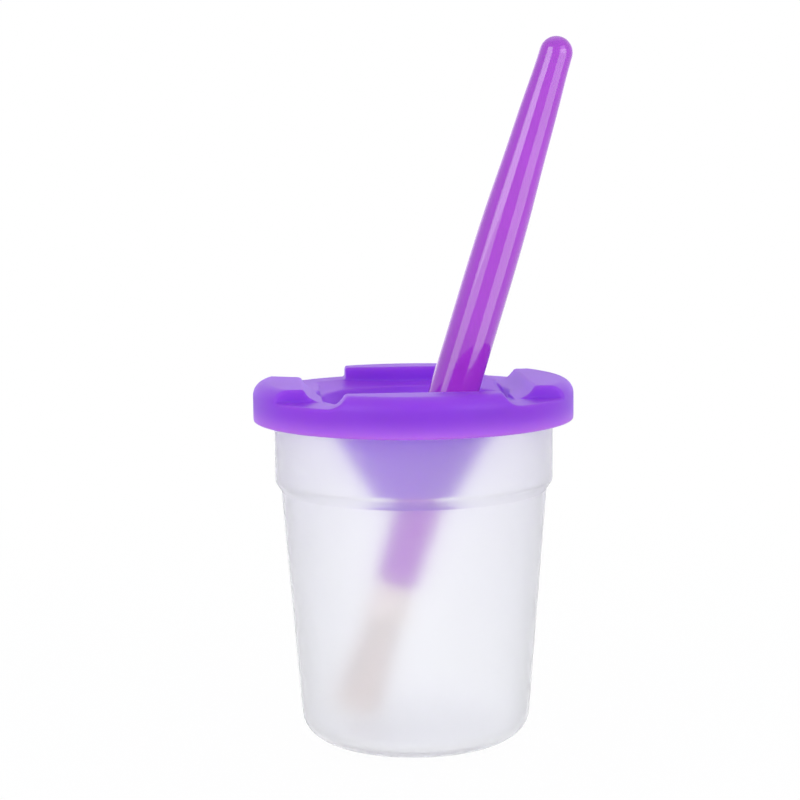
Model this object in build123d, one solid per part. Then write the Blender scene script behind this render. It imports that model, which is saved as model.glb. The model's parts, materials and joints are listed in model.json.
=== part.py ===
from build123d import *
import math
import os

# Spill-proof paint cup: a stepped translucent cup, a press-on funnel lid with two brush rests,
# and a chubby brush that stands through the funnel. Millimetres, +Z up.
# The origin is the centre of the cup's underside, and the front of the lid faces -Y.

# Cup
cup_base_radius = 28.45
cup_base_fillet = 6.2
cup_wall = 1.3
cup_floor = 1.5
cup_inner_fillet = 4.8
foot_recess_radius = 20.5
foot_recess_depth = 0.7
foot_recess_slope = 0.9
gate_radius = 1.6
gate_height = 0.35
shoulder_radius = 33.3
shoulder_height = 62.9
shoulder_rise = 2.3
shoulder_fillet = 0.8
collar_radius = 34.8
rim_radius = 38.2
rim_height = 85.8
rim_thickness = 1.5
rim_curl_wall = 1.3
rim_curl_depth = 3.0
rim_round = 0.4

# Lid
lid_radius = 40.0
lid_wall = 1.3
skirt_bottom = 80.5
skirt_round = 0.45
land_top = 90.3
land_shoulder = 3.5
snap_bead_height = 0.3
snap_bead_width = 1.3
snap_bead_lift = 0.35
snap_bead_flat = 0.3
seat_rib_width = 1.2
seat_rib_height = 0.8
rest_offset = 23.2
rest_radius = 5.1
rest_depth = 3.15
front_wall_offset = 28.2
side_land_length = 38.6
back_rest_extra = 2.9
rest_inset = 0.35
back_slant_inner = 6.0
back_slant_outer = 14.0
dish_edge_radius = 33.4
dish_drop = 1.4
funnel_half_angle = 29.8
neck_bore_radius = 8.35
neck_height = 59.4
neck_round = 0.35
land_edge_round = 0.6
land_foot_round = 0.5
edge_reach = 0.01
cut_overrun = 4.0

# Brush
lean_angle = 18.35
lean_heading = -30.5
neck_rest_gap = 0.3
tip_rest_gap = 0.3
handle_length = 141.8
handle_end_radius = 4.0
handle_shape_shares = [(0.13, 0.771), (0.22, 0.849), (0.31, 0.945), (0.40, 0.99), (0.49, 1.0),
                       (0.86, 0.995)]
handle_max_radius = 5.95
handle_foot_radius = 5.5
handle_foot_round = 0.5
tenon_radius = 4.6
tenon_length = 5.6
ferrule_length = 10.4
ferrule_wall = 0.35
ferrule_mouth_radius = 5.75
ferrule_fit = 0.03
crimp_position = 4.7
crimp_depth = 0.3
crimp_width = 0.9
glue_length = 1.0
bristle_length = 26.6
bristle_slice = 0.8
bristle_spread = 6.5
bristle_shift = 0.45
bristle_dome = 1.0
strand_radius = 0.17
strand_tip_share = 0.45
strand_rings = 11
strands_per_ring_step = 6
strand_sides = 3


def arc_mid(centre, radius, angle):
    return (centre[0] + radius * math.cos(math.radians(angle)), centre[1] + radius * math.sin(math.radians(angle)))


def revolve_outline(points, rounds=()):
    """Turns a closed (radius, height) outline about the Z axis, with the named corners rounded."""
    with BuildPart() as turned:
        with BuildSketch(Plane.XZ) as section:
            with BuildLine():
                Polyline(*points, close=True)
            make_face()
            for index, size in rounds:
                corner = section.vertices().sort_by_distance(Vector(points[index][0], points[index][1]))[0]
                fillet(corner, size)
        revolve(axis=Axis.Z)
    return turned.part


def make_cup():
    floor_top = foot_recess_depth + cup_floor
    shoulder_top = shoulder_height + shoulder_rise
    outer = revolve_outline(
        [
            (0, 0),
            (cup_base_radius, 0),
            (shoulder_radius, shoulder_height),
            (collar_radius, shoulder_top),
            (collar_radius, rim_height),
            (0, rim_height),
        ],
        [(1, cup_base_fillet), (2, shoulder_fillet), (3, shoulder_fillet)],
    )
    taper = (shoulder_radius - cup_base_radius) / shoulder_height
    floor_radius = cup_base_radius + taper * floor_top - cup_wall
    inner = revolve_outline(
        [
            (0, floor_top),
            (floor_radius, floor_top),
            (shoulder_radius - cup_wall, shoulder_height + cup_wall / 2),
            (collar_radius - cup_wall, shoulder_top + cup_wall / 2),
            (collar_radius - cup_wall, rim_height + cut_overrun),
            (0, rim_height + cut_overrun),
        ],
        [(1, cup_inner_fillet), (2, shoulder_fillet), (3, shoulder_fillet)],
    )
    rim = revolve_outline(
        [
            (collar_radius - cup_wall / 2, rim_height - rim_thickness),
            (rim_radius - rim_curl_wall, rim_height - rim_thickness),
            (rim_radius - rim_curl_wall, rim_height - rim_curl_depth),
            (rim_radius, rim_height - rim_curl_depth),
            (rim_radius, rim_height),
            (collar_radius - cup_wall / 2, rim_height),
        ],
        [(2, rim_round), (3, rim_round), (4, rim_round * 2)],
    )
    recess = revolve_outline(
        [
            (0, -cut_overrun),
            (foot_recess_radius, -cut_overrun),
            (foot_recess_radius, 0),
            (foot_recess_radius - foot_recess_slope, foot_recess_depth),
            (gate_radius, foot_recess_depth),
            (gate_radius, foot_recess_depth - gate_height),
            (0, foot_recess_depth - gate_height),
        ]
    )
    return outer - inner + rim - recess


def lid_disc(radius, shoulder, bottom, top):
    """The lid's round outline: a straight skirt and an arc shoulder up to the flat top."""
    with BuildPart() as disc:
        with BuildSketch(Plane.XZ):
            with BuildLine():
                Line((0, bottom), (radius, bottom))
                Line((radius, bottom), (radius, top - shoulder))
                centre = (radius - shoulder, top - shoulder)
                ThreePointArc((radius, top - shoulder), arc_mid(centre, shoulder, 45), (centre[0], top))
                Line((centre[0], top), (0, top))
                Line((0, top), (0, bottom))
            make_face()
        revolve(axis=Axis.Z)
    return disc.part


def block(x_low, x_high, y_low, y_high, z_low, z_high):
    """A box between two corners."""
    size = (x_high - x_low, y_high - y_low, z_high - z_low)
    centre = ((x_low + x_high) / 2, (y_low + y_high) / 2, (z_low + z_high) / 2)
    return Pos(*centre) * Box(*size)


def rest_groove(side, radius, bottom):
    """One brush rest: a half pipe along Y with everything above it."""
    reach = lid_radius + cut_overrun
    axis_height = bottom + radius
    pipe = Pos(side * rest_offset, 0, axis_height) * Rot(90, 0, 0) * Cylinder(radius, 2 * reach)
    sky = block(side * rest_offset - radius, side * rest_offset + radius, -reach, reach,
                axis_height, land_top + cut_overrun)
    return pipe + sky


def prism(outline, low, high):
    """An upright prism on a flat outline."""
    with BuildPart() as upright:
        with BuildSketch(Plane.XY.offset(low)):
            with BuildLine():
                Polyline(*outline, close=True)
            make_face()
        extrude(amount=high - low)
    return upright.part


def corner_cuts(side, floor, margin):
    """The low corners of the lid past the ends of a side land; the left land's back end is slanted."""
    reach = lid_radius + cut_overrun
    top = land_top + cut_overrun
    square_end = side_land_length / 2 - margin
    corners = []
    for end in (-1, 1):
        near_y, far_y = square_end, square_end
        if side < 0 < end:
            near_y, far_y = back_slant_inner - margin, back_slant_outer - margin
        outline = [
            (side * rest_offset, end * near_y),
            (side * reach, end * far_y),
            (side * reach, end * reach),
            (side * rest_offset, end * reach),
        ]
        corners.append(prism(outline, floor, top))
    return corners


def wide_rest_cut(floor, margin):
    """The back left rest is wider: it runs further into the back land."""
    reach = lid_radius + cut_overrun
    inner = rest_offset - rest_radius - back_rest_extra + rest_inset - margin
    return block(-rest_offset, -inner, front_wall_offset - cut_overrun, reach, floor, land_top + cut_overrun)


def cone_slope():
    return math.tan(math.radians(funnel_half_angle))


def cone_radius(height, offset):
    """Radius of the funnel's inner cone at a height, moved outwards by a wall thickness."""
    side_step = offset / math.cos(math.radians(funnel_half_angle))
    return neck_bore_radius + side_step + (height - neck_height) * cone_slope()


def cone_solid(offset, low, high):
    return revolve_outline([(0, low), (cone_radius(low, offset), low), (cone_radius(high, offset), high), (0, high)])


def well_cut(offset):
    """The open middle of the lid: between the front and back lands, down to the dished floor."""
    rest_floor = land_top - rest_depth
    mouth_height = rest_floor - dish_drop - offset
    top = land_top + cut_overrun
    dish = revolve_outline(
        [
            (0, mouth_height),
            (cone_radius(mouth_height, offset), mouth_height),
            (dish_edge_radius, rest_floor - offset),
            (dish_edge_radius + cut_overrun, rest_floor - offset),
            (dish_edge_radius + cut_overrun, top),
            (0, top),
        ]
    )
    half_y = front_wall_offset + offset
    return block(-rest_offset, rest_offset, -half_y, half_y, mouth_height, top) & dish


def level_edges(solid, height):
    """The edges that lie flat at a height."""
    return solid.edges().filter_by_position(Axis.Z, height - edge_reach, height + edge_reach)


def soften_lid(lid):
    """Rounds the lands' upper edges and feet, the skirt's lip and the end of the funnel."""
    tops = level_edges(lid, land_top).filter_by(GeomType.LINE)
    along_sides = [edge for edge in tops.filter_by(Axis.Y) if edge.length > side_land_length / 2]
    lid = lid.fillet(land_edge_round, tops.filter_by(Axis.Y, reverse=True) + along_sides)
    feet = level_edges(lid, land_top - rest_depth).filter_by(GeomType.LINE).filter_by(Axis.Y, reverse=True)
    feet = [edge for edge in feet if edge.length > 2 * rest_radius]
    lid = lid.fillet(land_foot_round, feet)
    walls = lid.edges().filter_by(GeomType.HYPERBOLA)
    walls = [edge for edge in walls if abs(abs(edge.center().Y) - front_wall_offset) < edge_reach]
    lid = lid.fillet(land_foot_round, walls)
    lid = lid.fillet(skirt_round, [max(level_edges(lid, skirt_bottom), key=lambda edge: edge.length)])
    return lid.fillet(neck_round, level_edges(lid, neck_height))


def make_lid():
    rest_floor = land_top - rest_depth
    top = land_top + cut_overrun
    outer = lid_disc(lid_radius, land_shoulder, skirt_bottom, land_top)
    outer = outer + cone_solid(lid_wall, neck_height, rest_floor)
    void = lid_disc(lid_radius - lid_wall, land_shoulder - lid_wall, skirt_bottom - cut_overrun,
                    land_top - lid_wall)
    cuts = [well_cut(0), cone_solid(0, neck_height - cut_overrun, top)]
    fills = [well_cut(lid_wall), cone_solid(lid_wall, skirt_bottom - 2 * cut_overrun, top)]
    for side in (-1, 1):
        cuts.append(rest_groove(side, rest_radius, rest_floor))
        cuts.extend(corner_cuts(side, rest_floor, 0))
        fills.append(rest_groove(side, rest_radius + lid_wall, rest_floor - lid_wall))
        fills.extend(corner_cuts(side, rest_floor - lid_wall, lid_wall))
    cuts.append(wide_rest_cut(rest_floor, 0))
    fills.append(wide_rest_cut(rest_floor - lid_wall, lid_wall))
    for solid in fills:
        void = void - solid
    shell = outer
    for solid in cuts:
        shell = shell - solid
    shell = shell - void
    skirt_inner = lid_radius - lid_wall
    bead_low = skirt_bottom + snap_bead_lift
    bead = revolve_outline(
        [
            (skirt_inner + lid_wall / 2, bead_low),
            (skirt_inner, bead_low),
            (skirt_inner - snap_bead_height, bead_low + (snap_bead_width - snap_bead_flat) / 2),
            (skirt_inner - snap_bead_height, bead_low + (snap_bead_width + snap_bead_flat) / 2),
            (skirt_inner, bead_low + snap_bead_width),
            (skirt_inner + lid_wall / 2, bead_low + snap_bead_width),
        ]
    )
    seat_rib = revolve_outline(
        [
            (skirt_inner - seat_rib_width, rim_height),
            (skirt_inner + lid_wall / 2, rim_height),
            (skirt_inner + lid_wall / 2, rim_height + seat_rib_height),
            (skirt_inner - seat_rib_width, rim_height + seat_rib_height),
        ]
    )
    return soften_lid(shell + bead + seat_rib)


def lean():
    """The brush's place: local +Z runs up the leaning axis from the bristle tips."""
    tilt = math.radians(lean_angle)
    heading = math.radians(lean_heading)
    handle_reach = handle_max_radius / math.cos(tilt)
    neck_offset = neck_bore_radius - neck_rest_gap - handle_reach
    low_reach = bristle_spread - bristle_shift + strand_radius
    drop = max(0, low_reach * math.sin(tilt) - bristle_dome * math.cos(tilt))
    tip_height = foot_recess_depth + cup_floor + tip_rest_gap + drop
    run = (neck_height - tip_height) * math.tan(tilt) - neck_offset
    tip = (-run * math.cos(heading), -run * math.sin(heading), tip_height)
    return Pos(*tip) * Rot(0, 0, lean_heading) * Rot(0, lean_angle, 0)


def make_handle():
    """A fat tapering handle with a domed end and a tenon for the ferrule."""
    low = bristle_length + ferrule_length
    high = low + handle_length
    dome_z = high - handle_end_radius
    crimp = low - crimp_position
    groove = tenon_radius - crimp_depth
    points = [(handle_foot_radius, low + handle_foot_round)]
    for share, size_share in reversed(handle_shape_shares):
        points.append((handle_max_radius * size_share, high - handle_length * share))
    points.append((handle_end_radius, dome_z))
    with BuildPart() as handle:
        with BuildSketch(Plane.XZ):
            with BuildLine():
                Polyline(
                    (0, high),
                    (0, low - tenon_length),
                    (groove, low - tenon_length),
                    (groove, crimp + crimp_width / 2),
                    (tenon_radius, crimp + crimp_width),
                    (tenon_radius, low),
                    (handle_foot_radius - handle_foot_round, low),
                    points[0],
                )
                Spline(*points, tangents=[(crimp_depth, handle_end_radius), (0, 1)])
                ThreePointArc(points[-1], arc_mid((0, dome_z), handle_end_radius, 45), (0, high))
            make_face()
        revolve(axis=Axis.Z)
    return handle.part


def ferrule_outline_radius():
    return tenon_radius + ferrule_fit + ferrule_wall


def make_ferrule():
    """A thin metal tube with one rolled crimp, flaring a little to its mouth."""
    low = bristle_length
    high = low + ferrule_length
    crimp = high - crimp_position
    outer = ferrule_outline_radius()
    return revolve_outline(
        [
            (outer, high),
            (outer, crimp + crimp_width),
            (outer - crimp_depth, crimp + crimp_width / 2),
            (outer, crimp),
            (ferrule_mouth_radius, low),
            (ferrule_mouth_radius - ferrule_wall, low),
            (outer - ferrule_wall, crimp),
            (outer - ferrule_wall - crimp_depth, crimp + crimp_width / 2),
            (outer - ferrule_wall, crimp + crimp_width),
            (outer - ferrule_wall, high),
        ]
    )


def glue_top():
    """Where the glue plug meets the handle's tenon."""
    return bristle_length + ferrule_length - tenon_length


def make_plug():
    """The glue that sets the bristle roots, between them and the tenon."""
    radius = tenon_radius - crimp_depth
    return Pos(0, 0, glue_top() - glue_length / 2) * Cylinder(radius, glue_length)


def strand(root, tip, root_radius, tip_radius, turn):
    """One tapering three-sided bristle from its root to its tip."""
    rings = []
    for centre, radius in ((root, root_radius), (tip, tip_radius)):
        corners = []
        for side in range(strand_sides):
            angle = turn + 2 * math.pi * side / strand_sides
            corners.append((centre[0] + radius * math.cos(angle), centre[1] + radius * math.sin(angle), centre[2]))
        rings.append(Wire.make_polygon([Vector(*corner) for corner in corners], close=True))
    return Solid.make_loft(rings, ruled=True)


def make_bristles():
    """Rings of bristles that fan out from a slice of the bound roots."""
    slice_high = glue_top() - glue_length
    slice_low = slice_high - bristle_slice
    root_z = slice_low + bristle_slice / 2
    root_spread = tenon_radius - crimp_depth - strand_radius
    strands = []
    for ring in range(strand_rings + 1):
        share = ring / strand_rings
        count = max(1, strands_per_ring_step * ring)
        for place in range(count):
            angle = 2 * math.pi * (place + ring % 2 / 2) / count
            root = (share * root_spread * math.cos(angle), share * root_spread * math.sin(angle), root_z)
            tip_x = share * bristle_spread * math.cos(angle) - bristle_shift
            tip_y = share * bristle_spread * math.sin(angle)
            tip = (tip_x, tip_y, bristle_dome * share * share)
            strands.append(strand(root, tip, strand_radius, strand_radius * strand_tip_share, angle))
    backing = Pos(0, 0, (slice_low + slice_high) / 2) * Cylinder(tenon_radius - crimp_depth, bristle_slice)
    return backing.fuse(*strands)


def write(node, solid):
    solid.label = node
    export_step(solid, "parts/" + node + ".step")


def main():
    os.makedirs("parts", exist_ok=True)
    write("cup", make_cup())
    write("lid", make_lid())
    place = lean()
    write("brush_handle", place * make_handle())
    write("brush_ferrule", place * make_ferrule())
    write("bristle_glue", place * make_plug())
    write("brush_bristles", place * make_bristles())


if __name__ == "__main__":
    main()
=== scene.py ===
import json
import math

import bpy
import numpy as np
from mathutils import Matrix, Vector


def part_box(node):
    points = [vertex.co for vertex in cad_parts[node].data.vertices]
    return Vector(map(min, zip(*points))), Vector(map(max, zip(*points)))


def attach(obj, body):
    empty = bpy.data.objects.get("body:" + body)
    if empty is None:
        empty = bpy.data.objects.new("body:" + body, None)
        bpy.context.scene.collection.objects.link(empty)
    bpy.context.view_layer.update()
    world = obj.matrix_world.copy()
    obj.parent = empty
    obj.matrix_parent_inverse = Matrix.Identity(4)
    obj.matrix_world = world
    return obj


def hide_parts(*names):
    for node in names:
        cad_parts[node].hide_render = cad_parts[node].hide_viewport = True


bl_info = {
    "name": "Paint cup with funnel lid",
    "version": (1, 0, 0),
    "blender": (4, 5, 0),
    "location": "View3D > Sidebar > Paint Cup",
    "description": "A translucent paint cup, its violet funnel lid and a chubby brush, with a white studio",
    "category": "Object",
}

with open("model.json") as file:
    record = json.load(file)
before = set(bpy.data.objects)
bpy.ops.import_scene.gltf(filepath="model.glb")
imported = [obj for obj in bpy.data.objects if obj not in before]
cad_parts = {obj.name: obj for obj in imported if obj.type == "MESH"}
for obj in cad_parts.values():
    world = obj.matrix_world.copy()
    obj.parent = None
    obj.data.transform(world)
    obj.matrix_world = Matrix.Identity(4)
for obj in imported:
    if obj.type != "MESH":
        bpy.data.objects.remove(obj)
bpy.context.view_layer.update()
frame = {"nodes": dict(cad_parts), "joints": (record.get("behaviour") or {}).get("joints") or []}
CUP_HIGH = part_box("cup")[1]
LID_LOW, LID_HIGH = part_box("lid")
GLUE_LOW, GLUE_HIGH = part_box("bristle_glue")
JOINTS = {joint["name"]: joint for joint in frame["joints"]}
BRUSH_AXIS = Vector(JOINTS["brush_pull"]["axis"]).normalized()

LID_SKIRT_DEPTH = 0.0098  # from the top of the lands down to the skirt's lip
POLE_RADIUS = 1e-7  # under this radius an outline's point lies on the axis
CUP_SEGMENTS = 256
BRUSH_SEGMENTS = 96
STRIPS = "lit_by_strips"  # the collection that the two strips light
WHITE = (1.0, 1.0, 1.0)


def length(name, description, default):
    """A length setting in metres."""
    return bpy.props.FloatProperty(
        name=name, description=description, default=default, min=0.0, precision=5,
        unit="LENGTH", subtype="DISTANCE",
    )


def colour(name, description, default):
    """A linear colour setting."""
    return bpy.props.FloatVectorProperty(
        name=name, description=description, default=default, size=3, min=0.0, max=1.0, subtype="COLOR"
    )


def share(name, description, default):
    """A setting between nought and one."""
    return bpy.props.FloatProperty(
        name=name, description=description, default=default, min=0.0, max=1.0, subtype="FACTOR"
    )


def number(name, description, default):
    """A plain number."""
    return bpy.props.FloatProperty(name=name, description=description, default=default)


def angle(name, description, degrees):
    """An angle setting, from its default in degrees."""
    return bpy.props.FloatProperty(
        name=name, description=description, default=math.radians(degrees), subtype="ANGLE"
    )


class CupSettings(bpy.types.PropertyGroup):
    """Sizes and colours of the moulded cup."""

    base_radius: length("Base radius", "Radius where the side meets the table, before its rounding", 0.02845)
    base_round: length("Base rounding", "Radius of the rounded foot", 0.0062)
    inner_round: length("Inner rounding", "Radius inside the foot", 0.0048)
    wall: length("Wall", "Thickness of the side", 0.0013)
    floor: length("Floor", "Thickness of the bottom", 0.0015)
    recess_radius: length("Recess radius", "Inside radius of the foot ring", 0.0205)
    recess_depth: length("Recess depth", "How far the bottom is raised inside the foot ring", 0.0007)
    recess_slope: length("Recess slope", "Width of the slope inside the foot ring", 0.0009)
    gate_radius: length("Gate radius", "Radius of the gate mark under the bottom", 0.0016)
    gate_height: length("Gate height", "How far the gate mark stands off the bottom", 0.00035)
    shoulder_radius: length("Shoulder radius", "Radius just under the stacking shoulder", 0.0333)
    shoulder_height: length("Shoulder height", "Height of the stacking shoulder's lower corner", 0.0629)
    shoulder_rise: length("Shoulder rise", "Height of the slope of the shoulder", 0.0023)
    shoulder_round: length("Shoulder rounding", "Radius of the shoulder's upper corner", 0.0021)
    shoulder_edge: length("Shoulder edge", "Radius of the shoulder's lower corner", 0.0004)
    collar_radius: length("Collar radius", "Radius above the shoulder", 0.0348)
    rim_thickness: length("Rim thickness", "Thickness of the rim's flange", 0.0015)
    rim_curl: length("Rim curl", "Height of the rim's turned-down edge", 0.003)
    rim_wall: length("Rim wall", "Thickness of the turned-down edge", 0.0013)
    rim_round: length("Rim rounding", "Radius of the rim's edges", 0.0004)
    tint: colour("Tint", "Colour of the natural plastic", (0.955, 0.96, 0.985))
    haze: share("Haze", "How much of the wall scatters light like milk", 0.11)
    roughness: share("Roughness", "Roughness of the satin skin", 0.38)
    refraction: number("Refraction", "Index of refraction; low, for soft pale edges", 1.22)
    coat: share("Coat", "Weight of the smoother skin over it", 0.4)
    coat_roughness: share("Coat roughness", "Roughness of the smoother skin", 0.1)
    shadow_tint: colour("Shadow tint", "Colour of lamp light that passes the wall", (0.97, 0.97, 0.985))


class LidSettings(bpy.types.PropertyGroup):
    """Sizes and colours of the moulded lid."""

    wall: length("Wall", "Thickness of the lid", 0.0013)
    shoulder: length("Shoulder", "Radius of the rounded outer shoulder", 0.0035)
    rest_offset: length("Rest offset", "Distance of each brush rest from the middle", 0.0232)
    rest_radius: length("Rest radius", "Radius of the brush rests' half pipes", 0.0051)
    rest_depth: length("Rest depth", "Depth of the brush rests under the lands", 0.00315)
    wall_offset: length("Well wall offset", "Distance of the front and back lands' inner walls", 0.0282)
    side_half: length("Side land half length", "Half the length of the side lands", 0.0193)
    slant_inner: length("Slant inner end", "Where the left land's slanted back end starts", 0.006)
    slant_outer: length("Slant outer end", "Where the left land's slanted back end stops", 0.014)
    wide_rest: length("Wide rest edge", "Inner edge of the wider rest at the back left", 0.01555)
    dish_radius: length("Dish radius", "Radius where the dished floor meets the rests", 0.0334)
    dish_drop: length("Dish drop", "Depth of the dished floor at the funnel's mouth", 0.0014)
    neck_radius: length("Neck radius", "Radius of the hole at the funnel's end", 0.00835)
    cone_angle: angle("Cone angle", "Half angle of the funnel", 29.8)
    edge_round: length("Edge rounding", "Softness of the moulded edges", 0.0006)
    corner_round: length("Corner rounding", "Softness of the inner corners", 0.0006)
    lip_round: length("Lip rounding", "Softness of the skirt's lower lip", 0.0005)
    rib_width: length("Seat rib width", "Width of the ring that sits on the rim", 0.0012)
    rib_height: length("Seat rib height", "Height of the ring that sits on the rim", 0.0008)
    bead_height: length("Bead height", "How far the grip bead stands inside the skirt", 0.0003)
    bead_width: length("Bead width", "Width of the grip bead", 0.0013)
    bead_lift: length("Bead lift", "Height of the bead above the skirt's lip", 0.00035)
    bead_flat: length("Bead flat", "Width of the bead's flat", 0.0003)
    # The next four settings paint the skirt's lower edge paler. This is painted show-through light of the
    # pale cup rim behind the thin wall, not a colour of the plastic.
    rim_show_through_tint: colour("Lip tint", "Colour of the skirt's paler lower edge", (0.72, 0.27, 0.98))
    show_through_height: length("Lip height", "Height under which the skirt grows paler", 0.0858)
    show_through_fade: length("Lip fade", "Height over which it grows paler", 0.0048)
    show_through_reach: length("Lip reach", "Distance from the origin beyond which the skirt lies", 0.086)
    mesh_step: length("Mesh step", "Spacing of the mesh", 0.00049)
    tint: colour("Tint", "Colour of the violet plastic", (0.41, 0.083, 0.83))
    roughness: share("Roughness", "Roughness of the satin skin", 0.30)
    refraction: number("Refraction", "Index of refraction", 1.45)
    transmission: share("Transmission", "How much of the wall is clear", 0.2)
    scatter: share("Scatter", "How much light spreads inside the wall", 0.6)
    scatter_depth: length("Scatter depth", "How far light spreads inside the wall", 0.003)
    scatter_tint: colour("Scatter tint", "How far each colour spreads, as a share", (0.6, 0.25, 1.0))
    glow: share("Glow", "How much light the wall passes on from behind", 0.38)
    glow_tint: colour("Glow tint", "Colour of light from behind", (0.61, 0.19, 0.92))
    shadow_tint: colour("Shadow tint", "Colour of lamp light that passes the wall", (0.55, 0.35, 0.85))


class BrushSettings(bpy.types.PropertyGroup):
    """Sizes and colours of the brush."""

    handle_length: length("Handle length", "Length of the handle that shows", 0.1418)
    handle_radius: length("Handle radius", "Largest radius of the handle", 0.00595)
    end_radius: length("End radius", "Radius of the domed end", 0.004)
    foot_radius: length("Foot radius", "Radius of the handle at the ferrule", 0.0055)
    foot_round: length("Foot rounding", "Rounding of the handle's foot", 0.0005)
    ferrule_length: length("Ferrule length", "Length of the metal band", 0.0104)
    tenon_length: length("Tenon length", "Length of the handle inside the ferrule", 0.0056)
    glue_length: length("Glue length", "Thickness of the glue plug", 0.001)
    tenon_radius: length("Tenon radius", "Radius of the handle inside the ferrule", 0.0046)
    ferrule_wall: length("Ferrule wall", "Thickness of the metal", 0.00035)
    ferrule_fit: length("Ferrule fit", "Gap between tenon and ferrule", 0.00003)
    mouth_radius: length("Mouth radius", "Radius of the ferrule's mouth", 0.00575)
    crimp_place: length("Crimp place", "Distance of the crimp from the handle", 0.0047)
    crimp_depth: length("Crimp depth", "Depth of the crimp", 0.0003)
    crimp_width: length("Crimp width", "Width of the crimp", 0.0009)
    bristle_length: length("Bristle length", "Length of bristle outside the ferrule", 0.0266)
    bristle_spread: length("Bristle spread", "Radius of the tuft at its tips", 0.0065)
    bristle_shift: length("Bristle shift", "How far the tips lean to one side", 0.00045)
    bristle_dome: length("Bristle dome", "How much shorter the outer bristles are", 0.001)
    bristle_radius: length("Bristle thickness", "Radius of one bristle", 0.00013)
    bristle_count: bpy.props.IntProperty(
        name="Bristles", description="Number of bristles", default=900, min=1
    )
    handle_tint: colour("Handle tint", "Colour of the glossy handle", (0.268, 0.023, 0.46))
    handle_roughness: share("Handle roughness", "Roughness of the gloss", 0.05)
    handle_coat: share("Handle coat", "Weight of the clear skin", 0.3)
    handle_scatter: share("Handle scatter", "How much light spreads inside the plastic", 0.25)
    ferrule_tint: colour("Ferrule tint", "Colour of the metal", (0.88, 0.79, 0.73))
    ferrule_dull: colour("Ferrule dull tint", "Colour in the turning lines", (0.82, 0.74, 0.70))
    bristle_tint: colour("Bristle tint", "Colour of the natural bristle", (1.0, 0.955, 0.93))
    bristle_pale: colour("Bristle pale tint", "Colour of the paler streaks", (1.0, 0.985, 0.97))
    bristle_glow: share("Bristle glow", "How much light passes on from behind", 0.5)
    bristle_shadow: colour("Bristle shadow", "Colour of lamp light that passes", (0.93, 0.91, 0.90))
    glue_tint: colour("Glue tint", "Colour of the set glue", (0.55, 0.40, 0.18))
    glue_pale: colour("Glue pale tint", "Colour of its paler lumps", (0.68, 0.54, 0.30))


class StageSettings(bpy.types.PropertyGroup):
    """Camera, floor and lights."""

    distance: length("Camera distance", "Level distance from the cup's axis", 0.475)
    height: length("Camera height", "Height of the camera above the table", 0.1445)
    heading: angle("Heading", "Camera's angle round the cup from the front", -4.7)
    pitch: angle("Pitch", "How far the camera looks down", 7.15)
    roll: angle("Roll", "Turn of the camera about its own axis", -0.5)
    focal_pixels: number("Focal length", "Focal length in pixels", 1911.0)
    axis_pixel: number("Axis column", "Pixel column of the cup's axis in the image", 413.3)
    image_pixels: number("Image side", "Side of the square image", 800.0)
    strip_glow: number("Strip glow", "Brightness of the two strips that only light the handle", 2.4)
    side_glow: number("Side glow", "Brightness of the two side softboxes", 1.75)
    back_glow: number("Back glow", "Brightness of the softbox behind", 0.4)
    top_glow: number("Top glow", "Brightness of the softbox overhead", 0.3)
    room_glow: number("Room glow", "Brightness of the room", 0.85)
    room_tint: colour("Room tint", "Colour of the room", (0.93, 0.94, 1.0))
    aim_height: length("Aim height", "Greatest height that a light is aimed at", 0.36)
    floor_half: length("Floor half side", "Half the side of the square floor", 3.0)
    shadow_share: share("Shadow", "How much of the floor's own shade shows near the cup", 0.035)
    shadow_fade: number("Shadow fade", "How fast that shade fades, in shares for each metre", 3.0)
    shadow_hold: share("Shadow hold", "How much of the fade is held back near the cup", 0.1)
    strip_tint: colour("Strip tint", "Colour of the two strips", (0.78, 1.0, 0.55))
    paper: colour("Paper", "Colour of floor and backdrop", (0.86, 0.86, 0.87))


class Value:
    """A socket that carries numbers, with operators that add Math nodes."""

    def __init__(self, nodes, socket):
        self.nodes = nodes
        self.socket = socket

    def __add__(self, other):
        return self.nodes.math("ADD", self, other)

    def __radd__(self, other):
        return self.nodes.math("ADD", other, self)

    def __sub__(self, other):
        return self.nodes.math("SUBTRACT", self, other)

    def __rsub__(self, other):
        return self.nodes.math("SUBTRACT", other, self)

    def __mul__(self, other):
        return self.nodes.math("MULTIPLY", self, other)

    def __rmul__(self, other):
        return self.nodes.math("MULTIPLY", other, self)

    def __truediv__(self, other):
        return self.nodes.math("DIVIDE", self, other)

    def __rtruediv__(self, other):
        return self.nodes.math("DIVIDE", other, self)

    def clamped(self):
        return self.nodes.math("ADD", self, 0.0, clamp=True)


class Nodes:
    """Adds nodes to a node tree."""

    def __init__(self, tree):
        self.tree = tree

    def node(self, kind, settings=None, inputs=None):
        """A node of a type, its settings first and then its sockets."""
        made = self.tree.nodes.new(kind)
        for key, value in (settings or {}).items():
            setattr(made, key, value)
        for key, value in (inputs or {}).items():
            self._feed(made.inputs[key], value)
        return made

    def _feed(self, socket, value):
        if isinstance(value, Value):
            value = value.socket
        if isinstance(value, bpy.types.NodeSocket):
            self.tree.links.new(value, socket)
        elif isinstance(value, (tuple, list)) and len(value) == 3 and len(socket.default_value) == 4:
            socket.default_value = (*value, 1.0)
        else:
            socket.default_value = value

    def math(self, operation, *terms, clamp=False):
        settings = {"operation": operation, "use_clamp": clamp}
        return Value(self, self.node("ShaderNodeMath", settings, dict(enumerate(terms))).outputs[0])

    def shader(self, kind, inputs):
        return self.node("ShaderNode" + kind, {}, inputs).outputs[0]

    def blend(self, factor, first, second):
        """A shader between two shaders."""
        return self.node("ShaderNodeMixShader", {}, {0: factor, 1: first, 2: second}).outputs[0]


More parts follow.
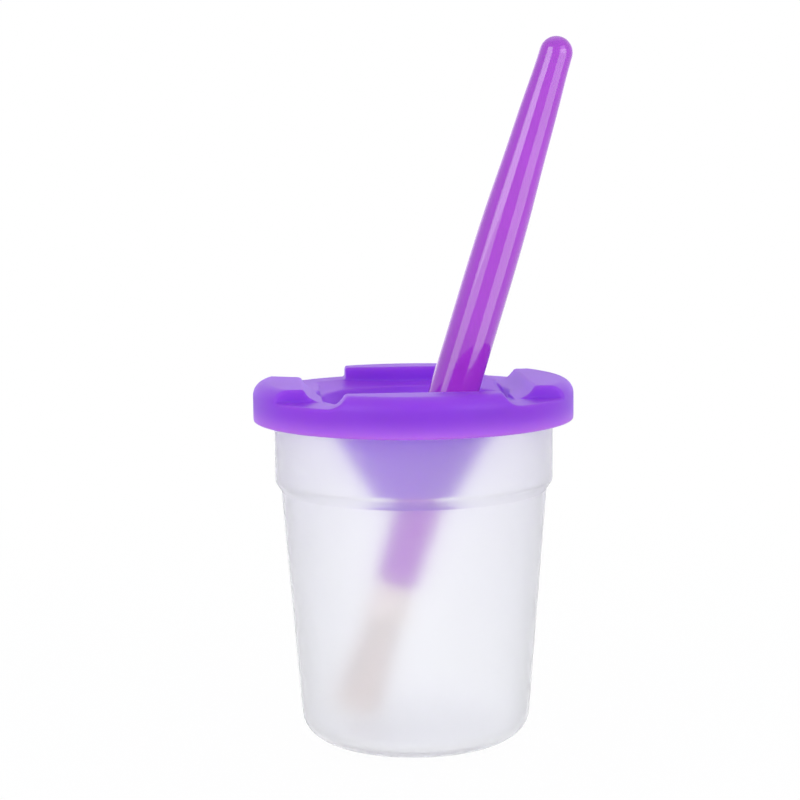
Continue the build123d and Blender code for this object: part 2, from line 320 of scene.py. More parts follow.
class MaterialNodes(Nodes):
    """Adds nodes to a new material."""

    def __init__(self, name):
        self.material = bpy.data.materials.new(name)
        self.material.use_nodes = True
        super().__init__(self.material.node_tree)
        self.tree.nodes.clear()

    def mix(self, factor, first, second):
        """A colour between two colours."""
        made = self.node("ShaderNodeMix", {"data_type": "RGBA"}, {0: factor, 6: first, 7: second})
        return made.outputs[2]

    def place(self):
        return self.node("ShaderNodeTexCoord").outputs["Object"]

    def distance(self):
        """The distance of a point from the origin."""
        made = self.node("ShaderNodeVectorMath", {"operation": "LENGTH"}, {0: self.place()})
        return Value(self, made.outputs["Value"])

    def noise(self, scale, detail, roughness):
        made = self.node(
            "ShaderNodeTexNoise", {},
            {"Vector": self.place(), "Scale": scale, "Detail": detail, "Roughness": roughness},
        )
        return Value(self, made.outputs["Fac"])

    def bump(self, height, strength, distance):
        made = self.node(
            "ShaderNodeBump", {}, {"Height": height, "Strength": strength, "Distance": distance}
        )
        return made.outputs["Normal"]

    def finish(self, shader):
        self.node("ShaderNodeOutputMaterial", {}, {"Surface": shader})
        return self.material


def outline(corners, rounds, steps=8):
    """A closed (radius, height) outline whose named corners are replaced by arcs."""
    points = []
    count = len(corners)
    for index, corner in enumerate(corners):
        here = np.array(corner)
        size = rounds.get(index, 0.0)
        if not size:
            points.append(here)
            continue
        before = np.array(corners[index - 1]) - here
        after = np.array(corners[(index + 1) % count]) - here
        before = before / np.linalg.norm(before)
        after = after / np.linalg.norm(after)
        half = math.acos(np.clip(before @ after, -1, 1)) / 2
        middle = (before + after) / np.linalg.norm(before + after)
        centre = here + middle * size / math.sin(half)
        start = here + before * size / math.tan(half) - centre
        end = here + after * size / math.tan(half) - centre
        turn = math.acos(np.clip(start @ end / size**2, -1, 1))
        for step in range(steps + 1):
            t = step / steps
            arc = start * math.sin((1 - t) * turn) + end * math.sin(t * turn)
            points.append(centre + arc / math.sin(turn))
    return points


def add_object(name, mesh, material, smooth_angle=None):
    """Puts a mesh in the scene at the origin with one material."""
    made = bpy.data.objects.new(name, mesh)
    bpy.context.scene.collection.objects.link(made)
    mesh.materials.clear()
    mesh.materials.append(material)
    mesh.shade_smooth()
    if smooth_angle is not None:
        mesh.set_sharp_from_angle(angle=smooth_angle)
    return made


def lathe(name, points, segments, place=None):
    """Turns an outline about Z; points on the axis close to poles."""
    rings = []
    vertices = []
    for radius, height in points:
        if radius < POLE_RADIUS:
            rings.append([len(vertices)])
            vertices.append((0.0, 0.0, height))
            continue
        ring = []
        for step in range(segments):
            angle = 2 * math.pi * step / segments
            ring.append(len(vertices))
            vertices.append((radius * math.cos(angle), radius * math.sin(angle), height))
        rings.append(ring)
    faces = []
    for index, low in enumerate(rings):
        high = rings[(index + 1) % len(rings)]
        if len(low) == 1 and len(high) == 1:
            continue
        for step in range(segments):
            after = (step + 1) % segments
            if len(low) == 1:
                faces.append((low[0], high[after], high[step]))
            elif len(high) == 1:
                faces.append((low[step], low[after], high[0]))
            else:
                faces.append((low[step], low[after], high[after], high[step]))
    mesh = bpy.data.meshes.new(name)
    mesh.from_pydata(vertices, [], faces)
    if place is not None:
        mesh.transform(place)
    mesh.update()
    return mesh


def smooth_curve(places, sizes, wanted):
    """A smooth curve through points, with the slopes of the neighbours at each."""
    places, sizes = np.array(places), np.array(sizes)
    slopes = np.gradient(sizes, places)
    slopes[-1] = 0.0
    spot = np.clip(np.searchsorted(places, wanted) - 1, 0, len(places) - 2)
    gap = places[spot + 1] - places[spot]
    t = (wanted - places[spot]) / gap
    start = (1 + 2 * t) * (1 - t) ** 2 * sizes[spot] + t * (1 - t) ** 2 * gap * slopes[spot]
    end = t**2 * (3 - 2 * t) * sizes[spot + 1] + t**2 * (t - 1) * gap * slopes[spot + 1]
    return start + end


def soft_max(a, b, size):
    """The larger of two fields, with the corner between them rounded."""
    blend = np.clip(0.5 + 0.5 * (a - b) / size, 0, 1)
    return b * (1 - blend) + a * blend + size * blend * (1 - blend)


def surface_net(field, low, high, step, rounds=3):
    """Vertices and quads where a field of space changes sign, drawn onto that surface in rounds."""
    axes = [np.arange(a - 2 * step, b + 3 * step, step) for a, b in zip(low, high)]
    grid = np.stack(np.meshgrid(*axes, indexing="ij"), axis=-1)
    values = field(grid[..., 0], grid[..., 1], grid[..., 2])
    cells = tuple(size - 1 for size in values.shape)
    total = np.zeros((*cells, 3))
    hits = np.zeros(cells)
    corners = [(i, j, k) for i in (0, 1) for j in (0, 1) for k in (0, 1)]
    for first in corners:
        for axis in range(3):
            if first[axis]:
                continue
            second = list(first)
            second[axis] = 1
            window_a = tuple(slice(o, o + c) for o, c in zip(first, cells))
            window_b = tuple(slice(o, o + c) for o, c in zip(second, cells))
            a, b = values[window_a], values[window_b]
            crossed = (a < 0) != (b < 0)
            t = np.where(crossed, a / np.where(crossed, a - b, 1), 0)
            spot = grid[window_a] + t[..., None] * (grid[window_b] - grid[window_a])
            total += np.where(crossed[..., None], spot, 0)
            hits += crossed
    used = hits > 0
    index = np.full(cells, -1)
    index[used] = np.arange(used.sum())
    points = total[used] / hits[used][:, None]
    quads = []
    inside = values < 0
    for axis in range(3):
        u, v = (axis + 1) % 3, (axis + 2) % 3
        near = [slice(1, c) for c in cells]
        near[axis] = slice(0, cells[axis])
        far = list(near)
        far[axis] = slice(1, cells[axis] + 1)
        a, b = inside[tuple(near)], inside[tuple(far)]
        for wanted, flip in ((a & ~b, False), (~a & b, True)):
            at = np.argwhere(wanted)
            at[:, u] += 1
            at[:, v] += 1
            ring = []
            for du, dv in ((1, 1), (0, 1), (0, 0), (1, 0)):
                cell = at.copy()
                cell[:, u] -= du
                cell[:, v] -= dv
                ring.append(index[cell[:, 0], cell[:, 1], cell[:, 2]])
            quad = np.stack(ring, axis=1)
            quads.append(quad[:, ::-1] if flip else quad)
    small = step / 8
    for _ in range(rounds):
        slope = np.zeros_like(points)
        for axis in range(3):
            shift = np.zeros(3)
            shift[axis] = small
            ahead, behind = points + shift, points - shift
            slope[:, axis] = (field(*ahead.T) - field(*behind.T)) / (2 * small)
        size = np.maximum((slope**2).sum(1), 0.25)
        move = -field(*points.T)[:, None] * slope / size[:, None]
        reach = np.linalg.norm(move, axis=1, keepdims=True)
        points = points + move * np.minimum(1, step / 2 / np.maximum(reach, 1e-12))
    return points, np.concatenate(quads)


def lid_field(lid, low, high):
    """The lid as a field: the skin between the open air and one wall below it."""
    radius, top, skirt, neck_height = high.x, high.z, high.z - LID_SKIRT_DEPTH, low.z
    rest_floor = top - lid.rest_depth
    slope = math.tan(lid.cone_angle)
    mouth_height = rest_floor - lid.dish_drop
    mouth = lid.neck_radius + (mouth_height - neck_height) * slope
    dish_slope = lid.dish_drop / (lid.dish_radius - mouth)
    dish_cos = 1 / math.hypot(1, dish_slope)
    slant = (lid.slant_outer - lid.slant_inner) / (radius - lid.rest_offset)
    seat = CUP_HIGH.z
    skirt_inner = radius - lid.wall

    def field(x, y, z):
        r = np.hypot(x, y)
        across, along = np.abs(x), np.abs(y)
        out, up = r - (radius - lid.shoulder), z - (top - lid.shoulder)
        deep = np.minimum(np.maximum(out, up), 0)
        body = np.hypot(np.maximum(out, 0), np.maximum(up, 0)) + deep - lid.shoulder
        groove_axis = rest_floor + lid.rest_radius
        groove = np.hypot(across - lid.rest_offset, np.minimum(z - groove_axis, 0)) - lid.rest_radius
        left_back = (x < 0) & (y > 0)
        end = np.where(
            left_back,
            (lid.slant_inner + (across - lid.rest_offset) * slant - y) / math.hypot(1, slant),
            lid.side_half - along,
        )
        corner = soft_max(end, rest_floor - z, lid.corner_round)
        corner = soft_max(corner, lid.rest_offset - across, lid.corner_round)
        wide = soft_max(rest_floor - z, lid.wide_rest - across, lid.corner_round)
        wide = np.maximum(np.maximum(wide, across - lid.rest_offset), lid.wall_offset - lid.shoulder - y)
        wide = np.where(x < 0, wide, lid.shoulder)
        dish = (mouth_height + (r - mouth) * dish_slope - z) * dish_cos
        well = soft_max(np.maximum(across - lid.rest_offset, dish), along - lid.wall_offset, lid.corner_round)
        cone = (r - lid.neck_radius - (z - neck_height) * slope) * math.cos(lid.cone_angle)
        air = np.minimum(np.minimum(groove, corner), np.minimum(np.minimum(well, cone), wide))
        skin = soft_max(body, -air, lid.edge_round)
        shell = np.maximum(skin, -skin - lid.wall)
        foot = np.where(r > lid.dish_radius - lid.wall, skirt - z, neck_height - z)
        shell = soft_max(shell, foot, lid.lip_round)
        rib = np.maximum(skirt_inner - lid.rib_width - r, r - skirt_inner - lid.wall / 2)
        rib = np.maximum(rib, np.abs(z - seat - lid.rib_height / 2) - lid.rib_height / 2)
        return np.minimum(shell, rib)

    return field

def scaled(tint, factor):
    """A colour made paler or deeper."""
    return tuple(min(1.0, part * factor) for part in tint)


def translucent(nodes, body, shadow_tint):
    """Lets lamp light through a clear wall, so that what stands inside is lit."""
    path = nodes.node("ShaderNodeLightPath")
    clear = nodes.shader("BsdfTransparent", {"Color": tuple(shadow_tint)})
    return nodes.blend(path.outputs["Is Shadow Ray"], body, clear)


def cup_plastic(cup):
    """Milky natural polypropylene with a fine satin grain and faint flow marks."""
    nodes = MaterialNodes("natural_plastic")
    grain = nodes.noise(2600.0, 3.0, 0.6)
    clouds = nodes.noise(38.0, 2.0, 0.5)
    tint = tuple(cup.tint)
    body = nodes.shader("BsdfPrincipled", {
        "Base Color": nodes.mix(clouds, tint, scaled(tint, 1.03)),
        "Roughness": cup.roughness + grain * 0.05 + clouds * 0.04,
        "IOR": cup.refraction,
        "Coat Weight": cup.coat,
        "Coat Roughness": cup.coat_roughness,
        "Transmission Weight": 1.0 - cup.haze,
        "Normal": nodes.bump(grain, 0.12, 0.00006),
    })
    return nodes.finish(translucent(nodes, body, cup.shadow_tint))


def lid_plastic(lid):
    """Violet translucent polypropylene with a satin skin; its lower skirt edge is painted paler, a painted
    show-through of the pale cup rim behind the thin wall.
    """
    nodes = MaterialNodes("violet_plastic")
    grain = nodes.noise(2200.0, 3.0, 0.6)
    clouds = nodes.noise(55.0, 3.0, 0.55)
    height = Value(nodes, nodes.node("ShaderNodeSeparateXYZ", {}, {0: nodes.place()}).outputs["Z"])
    # Painted show-through light: the outer skirt is painted paler towards its lower edge, standing in for the
    # pale cup rim shining through the wall.
    rim_show_through = ((lid.show_through_height - height) / lid.show_through_fade).clamped()
    rim_show_through = rim_show_through * rim_show_through * ((nodes.distance() - lid.show_through_reach) / lid.wall).clamped()
    tint = tuple(lid.tint)
    body = nodes.shader("BsdfPrincipled", {
        "Base Color": nodes.mix(rim_show_through, nodes.mix(clouds, tint, scaled(tint, 0.86)), tuple(lid.rim_show_through_tint)),
        "Roughness": lid.roughness + grain * 0.08 + clouds * 0.06,
        "IOR": lid.refraction,
        "Transmission Weight": lid.transmission,
        "Subsurface Weight": lid.scatter,
        "Subsurface Radius": tuple(lid.scatter_tint),
        "Subsurface Scale": lid.scatter_depth,
        "Normal": nodes.bump(grain, 0.1, 0.00005),
    })
    glow = nodes.shader("BsdfTranslucent", {"Color": tuple(lid.glow_tint)})
    return nodes.finish(translucent(nodes, nodes.blend(lid.glow, body, glow), lid.shadow_tint))


def handle_plastic(brush):
    """Glossy violet plastic with the faintest ripple and specks."""
    nodes = MaterialNodes("handle_plastic")
    ripple = nodes.noise(120.0, 2.0, 0.5)
    specks = nodes.noise(1800.0, 2.0, 0.5)
    tint = tuple(brush.handle_tint)
    body = nodes.shader("BsdfPrincipled", {
        "Base Color": nodes.mix(ripple, tint, scaled(tint, 0.88)),
        "Roughness": brush.handle_roughness + specks * 0.04,
        "IOR": 1.5,
        "Coat Weight": brush.handle_coat,
        "Coat Roughness": 0.03,
        "Subsurface Weight": brush.handle_scatter,
        "Subsurface Radius": (0.8, 0.2, 1.0),
        "Subsurface Scale": 0.002,
        "Normal": nodes.bump(ripple, 0.02, 0.0002),
    })
    return nodes.finish(body)


def ferrule_metal(brush):
    """Pale satin metal with fine turning lines."""
    nodes = MaterialNodes("ferrule_metal")
    lines = nodes.noise(3200.0, 2.0, 0.6)
    body = nodes.shader("BsdfPrincipled", {
        "Base Color": nodes.mix(lines, tuple(brush.ferrule_tint), tuple(brush.ferrule_dull)),
        "Metallic": 0.85,
        "Roughness": 0.34 + lines * 0.14,
        "Normal": nodes.bump(lines, 0.2, 0.00004),
    })
    return nodes.finish(body)


def bristle_hair(brush):
    """Natural bristle, a little different from strand to strand."""
    nodes = MaterialNodes("natural_bristle")
    streaks = nodes.noise(900.0, 2.0, 0.6)
    body = nodes.shader("BsdfPrincipled", {
        "Base Color": nodes.mix(streaks, tuple(brush.bristle_tint), tuple(brush.bristle_pale)),
        "Roughness": 0.45 + streaks * 0.2,
        "Sheen Weight": 0.2,
    })
    glow = nodes.shader("BsdfTranslucent", {"Color": tuple(brush.bristle_tint)})
    hair = nodes.blend(brush.bristle_glow, body, glow)
    return nodes.finish(translucent(nodes, hair, brush.bristle_shadow))


def glue_resin(brush):
    """Set amber glue."""
    nodes = MaterialNodes("set_glue")
    lumps = nodes.noise(500.0, 3.0, 0.6)
    body = nodes.shader("BsdfPrincipled", {
        "Base Color": nodes.mix(lumps, tuple(brush.glue_tint), tuple(brush.glue_pale)),
        "Roughness": 0.4 + lumps * 0.2,
        "Normal": nodes.bump(lumps, 0.3, 0.0001),
    })
    return nodes.finish(body)


def seen_white(nodes):
    """One for the rays that are to meet plain white: from the camera, or by clear and glossy walls."""
    path = nodes.node("ShaderNodeLightPath")
    camera, clear, glossy = (
        Value(nodes, path.outputs["Is %s Ray" % kind]) for kind in ("Camera", "Transmission", "Glossy")
    )
    return (camera + clear + glossy).clamped()


def paper_sweep(stage):
    """A white floor that the camera sees as white, with a trace of shadow near the cup."""
    nodes = MaterialNodes("paper_sweep")
    fibres = nodes.noise(60.0, 2.0, 0.5)
    paper = tuple(stage.paper)
    matte = nodes.shader("BsdfDiffuse", {"Color": nodes.mix(fibres, paper, scaled(paper, 1.01))})
    glow = nodes.shader("Emission", {"Color": WHITE, "Strength": 1.0})
    away = (nodes.distance() * stage.shadow_fade - stage.shadow_hold).clamped()
    white = seen_white(nodes) * (1.0 - stage.shadow_share + away * stage.shadow_share)
    return nodes.finish(nodes.blend(white, matte, glow))


def brush_place(brush):
    """Stands a piece drawn upwards from the bristle tips on the brush's leaning axis."""
    glue_middle = brush.bristle_length + brush.ferrule_length - brush.tenon_length - brush.glue_length / 2
    tip = (GLUE_LOW + GLUE_HIGH) / 2 - BRUSH_AXIS * glue_middle
    heading = math.atan2(BRUSH_AXIS.y, BRUSH_AXIS.x)
    tilt = math.acos(BRUSH_AXIS.z)
    return Matrix.Translation(tip) @ Matrix.Rotation(heading, 4, "Z") @ Matrix.Rotation(tilt, 4, "Y")


class PAINTCUP_OT_stage(bpy.types.Operator):
    """Sets up the camera, the white sweep and the soft lights"""

    bl_idname = "paintcup.stage"
    bl_label = "Stage"

    def execute(self, context):
        stage = context.scene.paintcup_stage
        self.add_camera(context, stage)
        self.add_sweep(stage)
        self.add_world(context, stage)
        self.add_lights(context, stage)
        context.scene.view_settings.view_transform = "Standard"
        return {"FINISHED"}

    def add_camera(self, context, stage):
        data = bpy.data.cameras.new("camera")
        data.sensor_width = 36.0
        data.lens = data.sensor_width * stage.focal_pixels / stage.image_pixels
        data.shift_x = (stage.image_pixels / 2 - stage.axis_pixel) / stage.image_pixels
        data.clip_start = 0.01
        data.clip_end = 20.0
        camera = bpy.data.objects.new("camera", data)
        context.scene.collection.objects.link(camera)
        spot = Vector((math.sin(stage.heading), -math.cos(stage.heading), 0.0)) * stage.distance
        turn = Matrix.Rotation(stage.heading, 4, "Z") @ Matrix.Rotation(math.pi / 2 - stage.pitch, 4, "X")
        turn = turn @ Matrix.Rotation(stage.roll, 4, "Z")
        camera.matrix_world = Matrix.Translation(spot + Vector((0.0, 0.0, stage.height))) @ turn
        context.scene.camera = camera

    def add_sweep(self, stage):
        half = stage.floor_half
        corners = [(-half, -half, 0), (half, -half, 0), (half, half, 0), (-half, half, 0)]
        mesh = bpy.data.meshes.new("paper_sweep")
        mesh.from_pydata(corners, [], [(0, 1, 2, 3)])
        add_object("paper_sweep", mesh, paper_sweep(stage))

    def add_world(self, context, stage):
        world = bpy.data.worlds.new("studio")
        world.use_nodes = True
        context.scene.world = world
        nodes = Nodes(world.node_tree)
        nodes.tree.nodes.clear()
        room = nodes.shader("Background", {"Color": tuple(stage.room_tint), "Strength": stage.room_glow})
        white = nodes.shader("Background", {"Color": WHITE, "Strength": 1.0})
        mixed = nodes.blend(seen_white(nodes), room, white)
        nodes.node("ShaderNodeOutputWorld", {}, {"Surface": mixed})

    def add_lights(self, context, stage):
        # name, heading in degrees, distance, height, (width, height of the light), glow, a strip or not
        lights = [
            ("left_strip", -50.7, 0.55, 0.20, (0.39, 0.75), stage.strip_glow, True),
            ("right_strip", 44.1, 0.181, 0.080, (0.145, 0.290), stage.strip_glow, True),
            ("left_softbox", -48.0, 0.80, 0.45, (0.50, 0.70), stage.side_glow, False),
            ("right_softbox", 44.0, 0.80, 0.45, (0.50, 0.70), stage.side_glow, False),
            ("back_softbox", 175.3, 1.20, 0.40, (2.20, 0.80), stage.back_glow, False),
            ("top_softbox", 180.0, 0.20, 0.80, (0.60, 0.50), stage.top_glow, False),
        ]
        strips = bpy.data.collections.new(STRIPS)
        for name, heading, distance, height, size, glow, strip in lights:
            turn = math.radians(heading)
            spot = Vector((math.sin(turn) * distance, -math.cos(turn) * distance, height))
            data = bpy.data.lights.new(name, "AREA")
            data.shape = "RECTANGLE"
            data.size, data.size_y = size
            data.energy = math.pi * size[0] * size[1] * glow
            light = bpy.data.objects.new(name, data)
            if strip:
                light.light_linking.receiver_collection = strips
                light.light_linking.blocker_collection = strips
                data.color = stage.strip_tint
            light.visible_camera = False
            light.visible_transmission = False
            context.scene.collection.objects.link(light)
            aim = Vector((0.0, 0.0, min(height, stage.aim_height))) - spot
            light.matrix_world = Matrix.Translation(spot) @ aim.to_track_quat("-Z", "Y").to_matrix().to_4x4()


class PAINTCUP_OT_cup(bpy.types.Operator):
    """Turns the stepped cup in one wall, with its rim and foot ring"""

    bl_idname = "paintcup.cup"
    bl_label = "Cup"

    def execute(self, context):
        cup = context.scene.paintcup_cup
        rim_radius, rim = CUP_HIGH.x, CUP_HIGH.z
        floor_top = cup.recess_depth + cup.floor
        taper = (cup.shoulder_radius - cup.base_radius) / cup.shoulder_height
        shoulder_top = cup.shoulder_height + cup.shoulder_rise
        flange = rim - cup.rim_thickness
        curl_inner = rim_radius - cup.rim_wall
        half_wall = cup.wall / 2
        corners = [
            (0.0, cup.recess_depth - cup.gate_height),
            (cup.gate_radius, cup.recess_depth - cup.gate_height),
            (cup.gate_radius, cup.recess_depth),
            (cup.recess_radius - cup.recess_slope, cup.recess_depth),
            (cup.recess_radius, 0.0),
            (cup.base_radius, 0.0),
            (cup.shoulder_radius, cup.shoulder_height),
            (cup.collar_radius, shoulder_top),
            (cup.collar_radius, flange),
            (curl_inner, flange),
            (curl_inner, rim - cup.rim_curl),
            (rim_radius, rim - cup.rim_curl),
            (rim_radius, rim),
            (cup.collar_radius - cup.wall, rim),
            (cup.collar_radius - cup.wall, shoulder_top + half_wall),
            (cup.shoulder_radius - cup.wall, cup.shoulder_height + half_wall),
            (cup.base_radius + taper * floor_top - cup.wall, floor_top),
            (0.0, floor_top),
        ]
        rounds = {
            1: cup.gate_height / 3, 2: cup.gate_height / 3, 3: cup.recess_depth / 2,
            4: cup.recess_depth / 2, 5: cup.base_round, 6: cup.shoulder_edge, 7: cup.shoulder_round,
            8: cup.rim_round, 9: cup.rim_round, 10: cup.rim_round, 11: cup.rim_round,
            12: 2 * cup.rim_round, 13: cup.rim_round, 14: cup.shoulder_round - cup.wall,
            15: cup.shoulder_edge + cup.wall, 16: cup.inner_round,
        }
        mesh = lathe("moulded_cup", outline(corners, rounds), CUP_SEGMENTS)
        piece = add_object("moulded_cup", mesh, cup_plastic(cup))
        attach(piece, "cup")
        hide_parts("cup")
        return {"FINISHED"}


class PAINTCUP_OT_lid(bpy.types.Operator):
    """Moulds the lid: skirt, four lands, two brush rests and the funnel in one skin"""

    bl_idname = "paintcup.lid"
    bl_label = "Lid"

    def execute(self, context):
        lid = context.scene.paintcup_lid
        points, quads = surface_net(lid_field(lid, LID_LOW, LID_HIGH), LID_LOW, LID_HIGH, lid.mesh_step)
        mesh = bpy.data.meshes.new("moulded_lid")
        mesh.from_pydata(points.tolist(), [], quads.tolist())
        mesh.update()
        plastic = lid_plastic(lid)
        piece = add_object("moulded_lid", mesh, plastic)
        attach(piece, "lid")
        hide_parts("lid")
        bead = add_object("grip_bead", self.bead_mesh(lid), plastic)
        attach(bead, "lid")
        return {"FINISHED"}

    def bead_mesh(self, lid):
        """The low ring inside the skirt that grips under the cup's rim."""
        outer = LID_HIGH.x - lid.wall
        inner = outer - lid.bead_height
        low = LID_HIGH.z - LID_SKIRT_DEPTH + lid.bead_lift
        middle = low + lid.bead_width / 2
        corners = [
            (outer + lid.bead_height, low),
            (outer + lid.bead_height, low + lid.bead_width),
            (outer, low + lid.bead_width),
            (inner, middle + lid.bead_flat / 2),
            (inner, middle - lid.bead_flat / 2),
            (outer, low),
        ]
        rounds = {3: lid.bead_flat / 2, 4: lid.bead_flat / 2}
        return lathe("grip_bead", outline(corners, rounds, 3), CUP_SEGMENTS)


class PAINTCUP_OT_handle(bpy.types.Operator):
    """Turns the fat glossy handle with its domed end and tenon"""

    bl_idname = "paintcup.handle"
    bl_label = "Handle"

    def execute(self, context):
        brush = context.scene.paintcup_brush
        low = brush.bristle_length + brush.ferrule_length
        high = low + brush.handle_length
        dome = high - brush.end_radius
        # share of the handle's length from its end, and share of its largest radius there
        shape_shares = [
            (0.86, 0.995), (0.49, 1.0), (0.40, 0.99), (0.31, 0.945), (0.22, 0.849), (0.13, 0.771),
        ]
        foot_steps, side_steps, dome_steps = 6, 90, 16
        heights = [low + brush.foot_round]
        radii = [brush.foot_radius]
        for place_share, size_share in shape_shares:
            heights.append(high - brush.handle_length * place_share)
            radii.append(brush.handle_radius * size_share)
        heights.append(dome)
        radii.append(brush.end_radius)
        crimp = low - brush.crimp_place
        groove = brush.tenon_radius - brush.crimp_depth
        points = [
            (0.0, low - brush.tenon_length),
            (groove, low - brush.tenon_length),
            (groove, crimp + brush.crimp_width / 2),
            (brush.tenon_radius, crimp + brush.crimp_width),
            (brush.tenon_radius, low),
            (brush.foot_radius - brush.foot_round, low),
        ]
        for step in range(foot_steps + 1):
            turn = math.pi / 2 * step / foot_steps
            points.append((
                brush.foot_radius - brush.foot_round * (1 - math.sin(turn)),
                low + brush.foot_round * (1 - math.cos(turn)),
            ))
        fine = np.linspace(heights[0], heights[-1], side_steps)[1:]
        points.extend(zip(smooth_curve(heights, radii, fine), fine))
        for step in range(1, dome_steps):
            turn = math.pi / 2 * step / dome_steps
            points.append((brush.end_radius * math.cos(turn), dome + brush.end_radius * math.sin(turn)))
        points.append((0.0, high))
        mesh = lathe("handle", points, BRUSH_SEGMENTS, brush_place(brush))
        piece = add_object("handle", mesh, handle_plastic(brush), math.radians(50))
        bpy.data.collections[STRIPS].objects.link(piece)
        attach(piece, "brush")
        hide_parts("brush_handle")
        return {"FINISHED"}


class PAINTCUP_OT_ferrule(bpy.types.Operator):
    """Turns the thin metal band with its crimp, and dresses the glue inside it"""

    bl_idname = "paintcup.ferrule"
    bl_label = "Ferrule"

    def execute(self, context):
        brush = context.scene.paintcup_brush
        low = brush.bristle_length
        high = low + brush.ferrule_length
        crimp = high - brush.crimp_place
        outer = brush.tenon_radius + brush.ferrule_fit + brush.ferrule_wall
        wall = brush.ferrule_wall
        side = [
            (brush.mouth_radius, low),
            (outer, crimp),
            (outer - brush.crimp_depth, crimp + brush.crimp_width / 2),
            (outer, crimp + brush.crimp_width),
            (outer, high),
        ]
        corners = side + [(radius - wall, height) for radius, height in reversed(side)]
        soft = brush.crimp_depth / 2
        rounds = {0: wall / 3, 1: soft, 2: soft, 3: soft, 4: wall / 3, 5: wall / 3, 9: wall / 3}
        mesh = lathe("ferrule", outline(corners, rounds, 4), BRUSH_SEGMENTS, brush_place(brush))
        piece = add_object("ferrule", mesh, ferrule_metal(brush))
        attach(piece, "brush")
        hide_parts("brush_ferrule")
        glue = frame["nodes"]["bristle_glue"]
        glue.data.materials.clear()
        glue.data.materials.append(glue_resin(brush))
        return {"FINISHED"}


class BristleTree(Nodes):
    """The node tree that grows bristles from a round root to a wider, domed tip."""

    SEED = 11
    STRAY = 0.4  # how far a strand's draw strays from even
    TWIST = 0.3  # radians that a draw of one turns the strand round the tuft
    FLARE = 1.35  # power of the opening: above one, it comes later
    STRAND_POINTS = 6
    STRAND_SIDES = 4
    THINNING = 0.7  # share of its thickness that a strand loses
    THINNING_POWER = 3.0

    def __init__(self, material):
        super().__init__(bpy.data.node_groups.new("bristle_tuft", "GeometryNodeTree"))
        for side in ("INPUT", "OUTPUT"):
            self.tree.interface.new_socket(name="Geometry", in_out=side, socket_type="NodeSocketGeometry")
        self.inputs = {}
        self.material = material

    def setting(self, name, kind, default):
        socket = self.tree.interface.new_socket(name=name, in_out="INPUT", socket_type=kind)
        socket.default_value = default
        self.inputs[name] = socket.identifier

    def geometry(self, kind, inputs, settings=None):
        return self.node("GeometryNode" + kind, settings, inputs).outputs[0]

    def scattered_points(self, given):
        """Points that each know their place in the tuft: spread from the middle, and direction."""
        index = Value(self, self.geometry("InputIndex", {}))
        draw = {2: -self.STRAY, 3: self.STRAY, "Seed": self.SEED}
        jitter = Value(self, self.node("FunctionNodeRandomValue", {"data_type": "FLOAT"}, draw).outputs[1])
        golden = math.pi * (3 - math.sqrt(5))
        turn = index * golden + jitter * self.TWIST
        places = {
            "spread": self.math("SQRT", (index + 0.5) / given["Count"]),
            "cosine": self.math("COSINE", turn),
            "sine": self.math("SINE", turn),
        }
        points = self.geometry("Points", {"Count": given["Count"]})
        for name, value in places.items():
            points = self.geometry(
                "StoreNamedAttribute", {"Geometry": points, "Name": name, "Value": value},
                {"data_type": "FLOAT", "domain": "POINT"},
            )
        return points

    def stored(self, name):
        return Value(self, self.geometry("InputNamedAttribute", {"Name": name}, {"data_type": "FLOAT"}))

    def build(self):
        sockets = self.node("NodeGroupInput").outputs
        given = {name: Value(self, sockets[name]) for name in self.inputs}
        line = self.geometry("CurvePrimitiveLine", {"Start": (0, 0, 0), "End": (0, 0, 1)})
        line = self.geometry("ResampleCurve", {"Curve": line, "Count": self.STRAND_POINTS})
        grown = self.geometry("InstanceOnPoints", {"Points": self.scattered_points(given), "Instance": line})
        grown = self.geometry("RealizeInstances", {"Geometry": grown})
        spread, cosine, sine = (self.stored(name) for name in ("spread", "cosine", "sine"))
        along = Value(self, self.geometry("SplineParameter", {}))
        eased = self.math("POWER", along, self.FLARE)
        reach = (given["Root radius"] + eased * (given["Tip radius"] - given["Root radius"])) * spread
        drop = along * (given["Length"] - given["Dome"] * (spread * spread))
        spot = self.node("ShaderNodeCombineXYZ", {}, {
            "X": reach * cosine - eased * given["Shift"],
            "Y": reach * sine,
            "Z": given["Length"] - drop,
        }).outputs[0]
        grown = self.geometry("SetPosition", {"Geometry": grown, "Position": spot})
        ring = {"Resolution": self.STRAND_SIDES, "Radius": given["Thickness"]}
        profile = self.geometry("CurvePrimitiveCircle", ring, {"mode": "RADIUS"})
        taper = 1.0 - self.math("POWER", along, self.THINNING_POWER) * self.THINNING
        mesh = self.geometry(
            "CurveToMesh", {"Curve": grown, "Profile Curve": profile, "Scale": taper, "Fill Caps": True}
        )
        whole = self.geometry("RealizeInstances", {"Geometry": mesh})
        coated = self.geometry("SetMaterial", {"Geometry": whole, "Material": self.material})
        self.node("NodeGroupOutput", {}, {0: coated})
        return self.tree


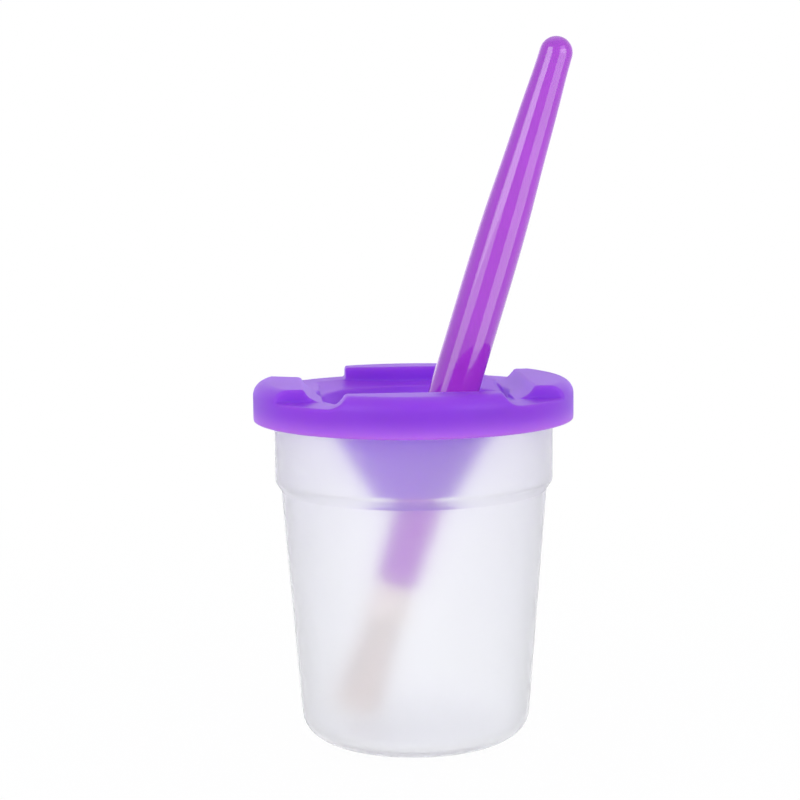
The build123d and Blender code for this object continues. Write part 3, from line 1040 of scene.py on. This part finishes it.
class PAINTCUP_OT_bristles(bpy.types.Operator):
    """Grows the tuft of natural bristles from the ferrule's mouth"""

    bl_idname = "paintcup.bristles"
    bl_label = "Bristles"

    def execute(self, context):
        brush = context.scene.paintcup_brush
        material = bristle_hair(brush)
        tuft = BristleTree(material)
        root = brush.bristle_length + brush.ferrule_length - brush.tenon_length - brush.glue_length
        values = {
            "Count": ("NodeSocketInt", brush.bristle_count),
            "Root radius": ("NodeSocketFloat", brush.tenon_radius - brush.crimp_depth),
            "Tip radius": ("NodeSocketFloat", brush.bristle_spread),
            "Length": ("NodeSocketFloat", root),
            "Shift": ("NodeSocketFloat", brush.bristle_shift),
            "Dome": ("NodeSocketFloat", brush.bristle_dome),
            "Thickness": ("NodeSocketFloat", brush.bristle_radius),
        }
        for name, (kind, value) in values.items():
            tuft.setting(name, kind, value)
        base = bpy.data.objects.new("tuft_base", bpy.data.meshes.new("tuft_base"))
        context.scene.collection.objects.link(base)
        grower = base.modifiers.new("tuft", "NODES")
        grower.node_group = tuft.build()
        for name, (_, value) in values.items():
            grower[tuft.inputs[name]] = value
        context.view_layer.update()
        shown = base.evaluated_get(context.evaluated_depsgraph_get())
        mesh = bpy.data.meshes.new_from_object(shown)
        bpy.data.objects.remove(base)
        mesh.name = "bristles"
        mesh.transform(brush_place(brush))
        piece = add_object("bristles", mesh, material)
        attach(piece, "brush")
        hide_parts("brush_bristles")
        return {"FINISHED"}


class PAINTCUP_PT_panel(bpy.types.Panel):
    """Buttons and settings of the paint cup"""

    bl_idname = "PAINTCUP_PT_panel"
    bl_label = "Paint Cup"
    bl_space_type = "VIEW_3D"
    bl_region_type = "UI"
    bl_category = "Paint Cup"

    def draw(self, context):
        for operator in OPERATORS:
            self.layout.operator(operator.bl_idname)
        for name in SETTINGS:
            group = getattr(context.scene, name)
            box = self.layout.box()
            for key in group.bl_rna.properties.keys():
                if key not in ("rna_type", "name"):
                    box.prop(group, key)


SETTINGS = {
    "paintcup_cup": CupSettings,
    "paintcup_lid": LidSettings,
    "paintcup_brush": BrushSettings,
    "paintcup_stage": StageSettings,
}
OPERATORS = (
    PAINTCUP_OT_stage,
    PAINTCUP_OT_cup,
    PAINTCUP_OT_lid,
    PAINTCUP_OT_handle,
    PAINTCUP_OT_ferrule,
    PAINTCUP_OT_bristles,
)


def register():
    for name, group in SETTINGS.items():
        bpy.utils.register_class(group)
        setattr(bpy.types.Scene, name, bpy.props.PointerProperty(type=group))
    for operator in OPERATORS:
        bpy.utils.register_class(operator)
    bpy.utils.register_class(PAINTCUP_PT_panel)


def unregister():
    bpy.utils.unregister_class(PAINTCUP_PT_panel)
    for operator in reversed(OPERATORS):
        bpy.utils.unregister_class(operator)
    for name, group in SETTINGS.items():
        delattr(bpy.types.Scene, name)
        bpy.utils.unregister_class(group)


def main():
    register()
    for operator in OPERATORS:
        group, action = operator.bl_idname.split(".")
        getattr(getattr(bpy.ops, group), action)()


if __name__ == "__main__":
    main()
